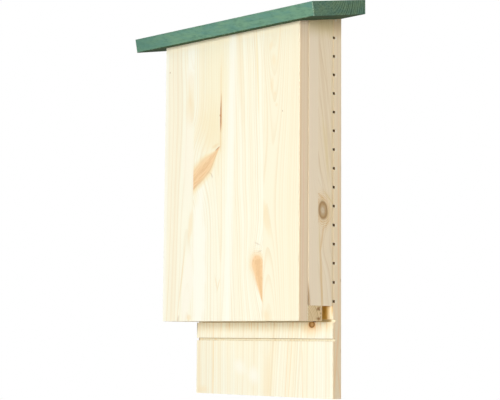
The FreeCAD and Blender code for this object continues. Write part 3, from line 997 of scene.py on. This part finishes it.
    def dress(self, packed: Packed) -> None:
        """Gives the back board its wood and its sawn kerfs.

        Args:
            packed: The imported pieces.
        """
        lowest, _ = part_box("back_board")
        sheet = Sheet("pine_back_board", packed.bottom)
        depth = sheet.y - lowest.y * MILLIMETRES
        grain = Grain(sheet, self.timber(), sheet.x, sheet.z, depth)
        sawn = self.sawn(sheet, depth)
        colour = self.finish.upright(grain, self.edge())
        colour = self.kerfed(sheet, sawn, colour)
        colour = self.shaded_under_front(sheet, depth.ramp(0.6, 0.2), colour)
        colour = self.seamed(sheet, depth, colour)
        colour = sheet.tinted(sheet.facing_y.ramp(0.5, 0.9), colour, Tint.REAR)
        packed.put_on("back_board", self.finish.closed(grain, colour, sawn * 0.6))


@dataclass
class SideBatten:
    """An upright batten between the front board and the back board."""

    name: str
    outward: float
    back_face: float = -18.0
    front_face: float = -68.0
    glue: float = -48.5
    finish: PineFinish = PineFinish(
        early=(253, 236, 207), late=(222, 192, 144), band=(248, 227, 190)
    )

    def timber(self) -> Timber:
        """Describes the batten's two glued strips. The left batten is plainer than the right one."""
        rear, front = (self.glue, FAR), (-FAR, self.glue)
        if self.outward < 0:
            staves = (
                Stave(-FAR, -120, 30, 300, 0.4e-4, 0, 2.6, 0.45, 0.5),
                Stave(self.glue - 3, 40, 26, 260, 0.5e-4, 0.02, 3.2, 0.5, 0.55),
            )
            return Timber(staves, seed=57, wander=4)
        tan, straw = (236, 204, 150), (240, 218, 164)
        dusk, umber = (232, 206, 166), (184, 146, 98)
        staves = (
            Stave(-FAR, -150, 30, 300, 0.2e-4, 0, 2.8, 0.2, 0.3),
            Stave(self.glue, -75, 18, 300, 0.3e-4, -0.16, 8, 0.4, 0.5),
        )
        pushes = (Push(-41, 250, 16, 34, -15), Push(-36, 196, 14, 26, 9))
        marks = (
            Mark(-40.5, 206, 1.7, 18, tan, 0.8, 12, 0.6, rear),
            Mark(-42.4, 165, 2, 36, tan, 0.8, -2.5, 0.6, rear),
            Mark(-40.2, 133, 1.8, 16, tan, 0.75, 0, 0.6, rear),
            Mark(-45.5, 200, 1.1, 22, straw, 0.6, -2, 0.7, rear),
            Mark(-31, 226, 1.4, 10, tan, 0.6, 44, 0.7, rear),
            Mark(-26.5, 244, 1.4, 12, straw, 0.7, 10, 0.7, rear),
            Mark(-28, 262, 1.3, 10, straw, 0.7, -50, 0.7, rear),
            Mark(-43, 262, 1.5, 9, tan, 0.6, -60, 0.7, rear),
            Mark(-30.5, 320, 2.4, 34, straw, 0.55, -4, 0.7, rear),
            Mark(-21, 300, 0.9, 190, straw, 0.5, 0, 0.7, rear),
            Mark(-39.1, 437.5, 1.1, 31, dusk, 0.55, -15.4, 0.6, rear),
            Mark(-30.2, 398, 1, 16, dusk, 0.35, -4, 0.7, rear),
            Mark(-42.9, 383, 1.3, 17, dusk, 0.5, -12.8, 0.6, rear),
            Mark(-36, 340, 1.4, 36, straw, 0.6, -7.6, 0.6, rear),
            Mark(-45.5, 305, 0.9, 18, dusk, 0.5, -9.8, 0.6, rear),
            Mark(-40, 279, 1, 13, dusk, 0.45, -14, 0.7, rear),
            Mark(-58, 300, 9, 400, (250, 232, 203), 0.6, 0, 0.3, front),
            Mark(-66.5, 132, 2, 17, umber, 0.7, -7, 0.6, front),
            # Painted shade: a darker olive band under the roof.
            Mark(0, 494, 400, 14, (214, 188, 100), 0.5, 0, 0.9),
        )
        knots = (
            Knot(
                -38.8, 243.7, 9.8, 12, 12, (222, 203, 172), (194, 160, 112),
                rings=2.6, halo=(234, 203, 152), soft=0.16, bark=0.28, swirl=0.9, between=rear,
            ),
        )
        return Timber(staves, pushes, marks, knots, seed=44, wander=3)

    def dress(self, packed: Packed) -> None:
        """Gives the batten its wood.

        Args:
            packed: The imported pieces.
        """
        lowest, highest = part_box(self.name)
        outside = max(abs(lowest.x), abs(highest.x)) * MILLIMETRES
        sheet = Sheet("pine_" + self.name, packed.bottom)
        grain = Grain(sheet, self.timber(), sheet.y, sheet.z, outside - abs(sheet.x))
        arris = sheet.arris()
        colour = self.finish.upright(grain)
        # Painted shade on the slanting corners: in the seam against the back board, and dimming the lit
        # corner against the front board.
        seam = sheet.y.ramp(self.back_face - 1.2, self.back_face - 0.9)
        glued = sheet.y.ramp(self.front_face + 1.2, self.front_face + 0.9)
        colour = sheet.tinted(arris * seam, colour, Tint.SEAM)
        colour = sheet.tinted(arris * glued, colour, Tint.FRONT_ARRIS_SHADE)
        packed.put_on(self.name, self.finish.closed(grain, colour))


@dataclass
class EntranceStrip:
    """The strip across the bottom of the chamber, with its grain running across."""

    cut: Shade = (238, 214, 182)
    cut_ring: Shade = (212, 183, 144)

    def timber(self) -> Timber:
        """Describes the strip, whose rings show on its right end."""
        staves = (Stave(-FAR, 96, -16, 0, 0, 0, 2.6, 0.75, 0.5),)
        return Timber(staves, seed=71, wander=3)

    def scars(self) -> Timber:
        """Describes the two dark swirls at the rear edge of the strip's ends."""
        umber, brown = (148, 98, 42), (116, 72, 30)
        marks = (
            Mark(-47.5, 116, 3.4, 2, umber, 0.85, -28, 0.7),
            Mark(-45.5, 114.5, 1.2, 1, brown, 0.8, 0, 0.7),
            Mark(-47, 103.2, 3.6, 1.9, umber, 0.9, 0, 0.7),
            Mark(-42.5, 110, 0.9, 1.2, umber, 0.7, 0, 0.7),
            Mark(-43, 105.5, 1, 1, umber, 0.6, 0, 0.7),
        )
        return Timber((Stave(-FAR, 96, -16),), (), marks, seed=5)

    def dress(self, packed: Packed) -> None:
        """Gives the strip its wood.

        Args:
            packed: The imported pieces.
        """
        lowest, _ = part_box("entrance_strip")
        sheet = Sheet("pine_entrance_strip", packed.bottom)
        grain = Grain(sheet, self.timber(), sheet.z, sheet.x, sheet.y - lowest.y * MILLIMETRES)
        finish = PineFinish()
        rings = sheet.painted(grain.late.ramp(0.0, 0.6), paint(self.cut), self.cut_ring)
        ended = sheet.laid(1.0, paint(finish.early), rings, Blend.DARKEN)
        swirls = Grain(sheet, self.scars(), sheet.y, sheet.z, 0.0)
        ended = swirls.patched(swirls.timber.marks, ended)
        colour = sheet.laid(sheet.flank(), finish.face(grain), ended)
        packed.put_on("entrance_strip", finish.closed(grain, colour))


@dataclass(frozen=True)
class StainFinish:
    """Matt green stain, thin enough for the wood to show through."""

    coat: Shade = (117, 157, 129)
    cool: Shade = (102, 146, 131)
    deep: Shade = (88, 128, 110)
    end: Shade = (255, 240, 234)
    end_pore: Shade = (190, 176, 164)
    # Painted shade laid over the roof's underside.
    under: Shade = (158, 152, 126)
    worn: Shade = (168, 196, 168)
    gloss: float = 0.06
    roughness: float = 0.85
    relief: float = 0.0002


@dataclass
class RoofBoard:
    """The green roof board, which slopes down to the front."""

    slope: float = 12.0
    half_width: float = 165.0
    run: float = 111.8
    thickness: float = 19.0
    stain: StainFinish = StainFinish()

    def timber(self) -> Timber:
        """Describes the board, whose rings stand upright towards the wall."""
        staves = (Stave(-FAR, 82, -16, 0, 0.1e-4, 0, 3.8, 0.9, 0.5),)
        return Timber(staves, seed=83, wander=2, uneven=1.2)

    def worn(self, sheet: Sheet, down: Value, deep: Value) -> Value:
        """Finds the arrises where handling has rubbed the stain thin.

        Args:
            sheet: The sheet that the nodes are added to.
            down: Distance down the slope from the wall.
            deep: Depth below the roof's top.

        Returns:
            The mask of bare arris, broken up by noise.
        """
        side = self.half_width - abs(sheet.x)
        front = self.run - down
        top = deep.least(self.thickness - deep)
        upright = side.most(0.0) + front.most(0.0)
        along_top = front.most(0.0) + top.most(0.0)
        rub = sheet.noise(sheet.point(sheet.x * 0.25, down * 0.25, deep * 0.45), 3.0, 0.7)
        corner = upright.ramp(1.4, 0.4) * rub.ramp(0.42, 0.56)
        edge = along_top.ramp(1.3, 0.5) * rub.ramp(0.5, 0.62) * 0.5
        return corner.most(edge) * 0.8

    def cloudy(self, sheet: Sheet, down: Value, deep: Value) -> Socket:
        """Builds the stain's uneven green, which is deeper towards the left.

        Args:
            sheet: The sheet that the nodes are added to.
            down: Distance down the slope from the wall.
            deep: Depth below the roof's top.

        Returns:
            The colour of the coat.
        """
        stain = self.stain
        skew = sheet.x - deep * 1.6
        cloud = sheet.noise(sheet.point(skew * 0.035, down * 0.06, deep * 0.09), 4.0, 0.65)
        blot = sheet.noise(sheet.point(skew * 0.13, down * 0.2, deep * 0.34), 4.0, 0.7)
        colour = sheet.painted(cloud.ramp(0.4, 0.66), paint(stain.coat), stain.cool)
        colour = sheet.painted(blot.ramp(0.46, 0.68) * 0.75, colour, stain.deep)
        return sheet.painted(sheet.x.ramp(-60.0, -170.0) * 0.55, colour, stain.deep)

    def ended(self, grain: Grain) -> Socket:
        """Builds what the end grain takes away from the stain.

        Args:
            grain: The roof board's figure, across the slope and down into the board.

        Returns:
            The tint of rings and pores, with the rings clearest near the wall.
        """
        sheet, down, deep = grain.sheet, grain.across, grain.depth
        pores = sheet.noise(sheet.point(down * 0.55, deep * 0.35, sheet.x * 0.2), 4.0, 0.7)
        fresh = down.ramp(84.0, 40.0)
        rings = grain.late.ramp(0.02, 0.4) * (fresh * 0.7 + 0.15)
        open_end = rings + pores.ramp(0.44, 0.6) * (0.6 - fresh * 0.3)
        return sheet.painted(open_end, paint(self.stain.end), self.stain.end_pore)

    def dress(self, packed: Packed) -> None:
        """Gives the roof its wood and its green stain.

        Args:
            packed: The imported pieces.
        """
        lowest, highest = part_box("roof_board")
        slope = math.radians(self.slope)
        cosine, sine = math.cos(slope), math.sin(slope)
        sheet = Sheet("stained_roof_board", packed.bottom)
        rise = sheet.z - (highest.z - packed.bottom) * MILLIMETRES
        down = sheet.y * -cosine - rise * sine
        deep = sheet.y * sine - rise * cosine
        grain = Grain(sheet, self.timber(), down, sheet.x, deep)
        stain, end = self.stain, sheet.flank()
        colour = self.cloudy(sheet, down, deep)
        colour = sheet.painted(grain.late * (1.0 - end) * 0.25, colour, stain.deep)
        colour = sheet.tinted(grain.fibre.ramp(0.45, 0.8) * 0.35, colour, Tint.STAINED_FIBRE)
        colour = sheet.laid(end, colour, self.ended(grain), Blend.DARKEN)
        # Painted shade: the roof's underside is darkened.
        under = sheet.facing_z.ramp(-0.4, -0.8)
        colour = sheet.laid(under, colour, paint(stain.under), Blend.DARKEN)
        colour = sheet.painted(self.worn(sheet, down, deep), colour, stain.worn)
        height = grain.fibre * 0.5 + grain.silk * 0.3 + grain.late * 0.4
        roughness = stain.roughness - grain.late * 0.1
        fixed = {"Specular IOR Level": stain.gloss}
        packed.put_on("roof_board", sheet.finish(colour, roughness, height, stain.relief, fixed))


@dataclass(frozen=True)
class MetalFinish:
    """Plated or drawn steel."""

    bright: Shade
    dull: Shade
    roughness: float
    relief: float = 0.00002

    def made(self, name: str, bottom: float) -> bpy.types.Material:
        """Builds the metal.

        Args:
            name: The material's name.
            bottom: The row frame's z at the back board's bottom edge, in metres.

        Returns:
            The finished material.
        """
        sheet = Sheet(name, bottom)
        bloom = sheet.noise(sheet.point(sheet.x * 0.9, sheet.y * 0.9, sheet.z * 0.9), 3.0, 0.6)
        scratch = sheet.noise(sheet.point(sheet.x * 6.0, sheet.y * 1.5, sheet.z * 6.0), 2.0)
        colour = sheet.painted(bloom.ramp(0.35, 0.7), paint(self.bright), self.dull)
        roughness = scratch * 0.16 + bloom * 0.1 + self.roughness
        return sheet.finish(colour, roughness, scratch, self.relief, {"Metallic": 1.0})


@dataclass
class Fasteners:
    """The screws behind the back board and in the roof, and the nails in the strip."""

    zinc: MetalFinish = MetalFinish((132, 134, 136), (104, 106, 108), 0.38)
    wire: MetalFinish = MetalFinish((140, 140, 142), (116, 116, 118), 0.36)

    def dress(self, packed: Packed) -> None:
        """Gives screws and nails their metal.

        Args:
            packed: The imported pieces.
        """
        zinc = self.zinc.made("zinc_screws", packed.bottom)
        packed.put_on("back_screws", zinc)
        packed.put_on("roof_screws", zinc)
        packed.put_on("strip_nails", self.wire.made("wire_nails", packed.bottom))


def pointing(azimuth: float, elevation: float) -> Vector:
    """Gives the direction from the object to a place around it.

    Args:
        azimuth: The angle from the front to the viewer's right, in radians.
        elevation: The angle above the horizon, in radians.

    Returns:
        A vector one unit long.
    """
    level = math.cos(elevation)
    return Vector((math.sin(azimuth) * level, -math.cos(azimuth) * level, math.sin(elevation)))


@dataclass
class PhotoCamera:
    """The photograph's camera, from its pixel size of focus and its turns in degrees."""

    focus_pixels: float = 1308.14
    frame_pixels: float = 500.0
    sensor: float = 36.0
    yaw: float = 42.745
    pitch: float = 6.022
    roll: float = 0.446
    place: tuple[float, float, float] = (1.20380, -1.34570, -0.35986)

    def set_up(self) -> bpy.types.Object:
        """Creates the camera and makes it the scene's own.

        Returns:
            The camera object.
        """
        yaw, pitch, roll = (math.radians(turn) for turn in (self.yaw, self.pitch, self.roll))
        ahead = -pointing(yaw, -pitch)
        level = Vector((math.cos(yaw), math.sin(yaw), 0.0))
        upward = level.cross(ahead)
        right = level * math.cos(roll) + upward * math.sin(roll)
        up = right.cross(ahead)
        data = bpy.data.cameras.new("camera")
        data.sensor_width = self.sensor
        data.lens = self.focus_pixels / self.frame_pixels * self.sensor
        data.clip_start, data.clip_end = 0.05, 60.0
        camera = bpy.data.objects.new("camera", data)
        bpy.context.scene.collection.objects.link(camera)
        turn = Matrix((right, up, -ahead)).transposed()
        camera.matrix_world = Matrix.Translation(self.place) @ turn.to_4x4()
        bpy.context.scene.camera = camera
        log.info("camera at %s", tuple(round(part, 3) for part in self.place))
        return camera


@dataclass(frozen=True)
class Softbox:
    """One large soft lamp. Its level is the light on a surface that faces it at the object."""

    name: str
    azimuth: float
    elevation: float
    distance: float
    side: float
    level: float


@dataclass
class Studio:
    """The plain studio: soft lamps, an even white surround and a pale floor."""

    surround: float = 0.12
    aim_height: float = 0.27
    aim_depth: float = -0.05
    floor_drop: float = 0.30
    floor_radius: float = 2.4
    floor_shade: float = 0.24
    floor_glow: float = 0.86
    lamps: tuple[Softbox, ...] = (
        Softbox("key", 23.5, -3.0, 2.8, 0.95, 0.90),
        Softbox("right_fill", 80.0, 16.0, 2.4, 1.6, 0.22),
        Softbox("left_fill", -84.0, 8.0, 2.4, 1.2, 0.40),
        Softbox("rear_fill", 178.0, 12.0, 2.6, 1.4, 0.70),
        Softbox("top_fill", 180.0, 70.0, 2.4, 1.4, 0.40),
    )

    def light_up(self, bottom: float) -> None:
        """Hangs the lamps round the object.

        Args:
            bottom: The row frame's z at the back board's bottom edge, in metres.
        """
        aim = Vector((0.0, self.aim_depth, bottom + self.aim_height))
        for lamp in self.lamps:
            away = pointing(math.radians(lamp.azimuth), math.radians(lamp.elevation))
            data = bpy.data.lights.new(lamp.name, "AREA")
            data.shape, data.size = "SQUARE", lamp.side
            data.energy = math.pi**2 * lamp.distance**2 * lamp.level
            light = bpy.data.objects.new(lamp.name, data)
            bpy.context.scene.collection.objects.link(light)
            light.location = aim + away * lamp.distance
            light.rotation_euler = away.to_track_quat("Z", "Y").to_euler()
            light.visible_camera = False

    def surround_with_white(self) -> None:
        """Makes the world white to the camera and to gloss, and gentler as a light."""
        world = bpy.data.worlds.new("surround")
        world.use_nodes = True
        bpy.context.scene.world = world
        nodes = Nodes(world.node_tree)
        seen = nodes.seen("Is Camera Ray", "Is Glossy Ray", "Is Transmission Ray")
        strength = seen * (1.0 - self.surround) + self.surround
        white = {"Color": (1.0, 1.0, 1.0, 1.0), "Strength": strength}
        background = nodes.node("ShaderNodeBackground", {}, white)
        nodes.node("ShaderNodeOutputWorld", {}, {"Surface": background.outputs[0]})

    def lay_floor(self, bottom: float) -> bpy.types.Object:
        """Lays a round pale floor under the object.

        Args:
            bottom: The row frame's z at the back board's bottom edge, in metres.

        Returns:
            The floor.
        """
        mesh = bpy.data.meshes.new("floor")
        shape = bmesh.new()
        bmesh.ops.create_circle(shape, cap_ends=True, radius=self.floor_radius, segments=128)
        shape.to_mesh(mesh)
        shape.free()
        floor = bpy.data.objects.new("floor", mesh)
        bpy.context.scene.collection.objects.link(floor)
        floor.location = (0.0, 0.0, bottom - self.floor_drop)
        mesh.materials.append(self.floor_finish(bottom))
        log.info("floor %.2f m under the object", self.floor_drop)
        return floor

    def floor_finish(self, bottom: float) -> bpy.types.Material:
        """Makes the floor pale, white to the camera where no shadow falls, and clear from below.

        Args:
            bottom: The row frame's z at the back board's bottom edge, in metres.

        Returns:
            The floor's material.
        """
        sheet = Sheet("pale_floor", bottom)
        shade = (self.floor_shade, self.floor_shade, self.floor_shade, 1.0)
        matt = sheet.node("ShaderNodeBsdfDiffuse", {}, {"Color": shade})
        glow = sheet.node("ShaderNodeEmission", {}, {"Strength": self.floor_glow})
        lit = sheet.node("ShaderNodeAddShader", {}, {0: matt.outputs[0], 1: glow.outputs[0]})
        seen = sheet.seen("Is Camera Ray", "Is Glossy Ray")
        top = sheet.node("ShaderNodeMixShader", {}, {0: seen, 1: matt.outputs[0], 2: lit.outputs[0]})
        clear = sheet.node("ShaderNodeBsdfTransparent")
        back = sheet.node("ShaderNodeNewGeometry").outputs["Backfacing"]
        whole = sheet.node("ShaderNodeMixShader", {}, {0: back, 1: top.outputs[0], 2: clear.outputs[0]})
        sheet.node("ShaderNodeOutputMaterial", {}, {"Surface": whole.outputs[0]})
        return sheet.material


def main() -> None:
    """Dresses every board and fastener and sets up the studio."""
    logging.basicConfig(level=logging.INFO, format="%(message)s")
    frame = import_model()
    packed = Packed(frame["nodes"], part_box("back_board")[0].z)
    PhotoCamera().set_up()
    studio = Studio()
    studio.surround_with_white()
    studio.light_up(packed.bottom)
    studio.lay_floor(packed.bottom)
    pieces = (
        FrontBoard(),
        BackBoard(),
        SideBatten("side_batten_left", -1.0),
        SideBatten("side_batten_right", 1.0),
        EntranceStrip(),
        RoofBoard(),
        Fasteners(),
    )
    for piece in pieces:
        piece.dress(packed)
    bpy.context.scene.view_settings.view_transform = "Standard"


if __name__ == "__main__":
    main()
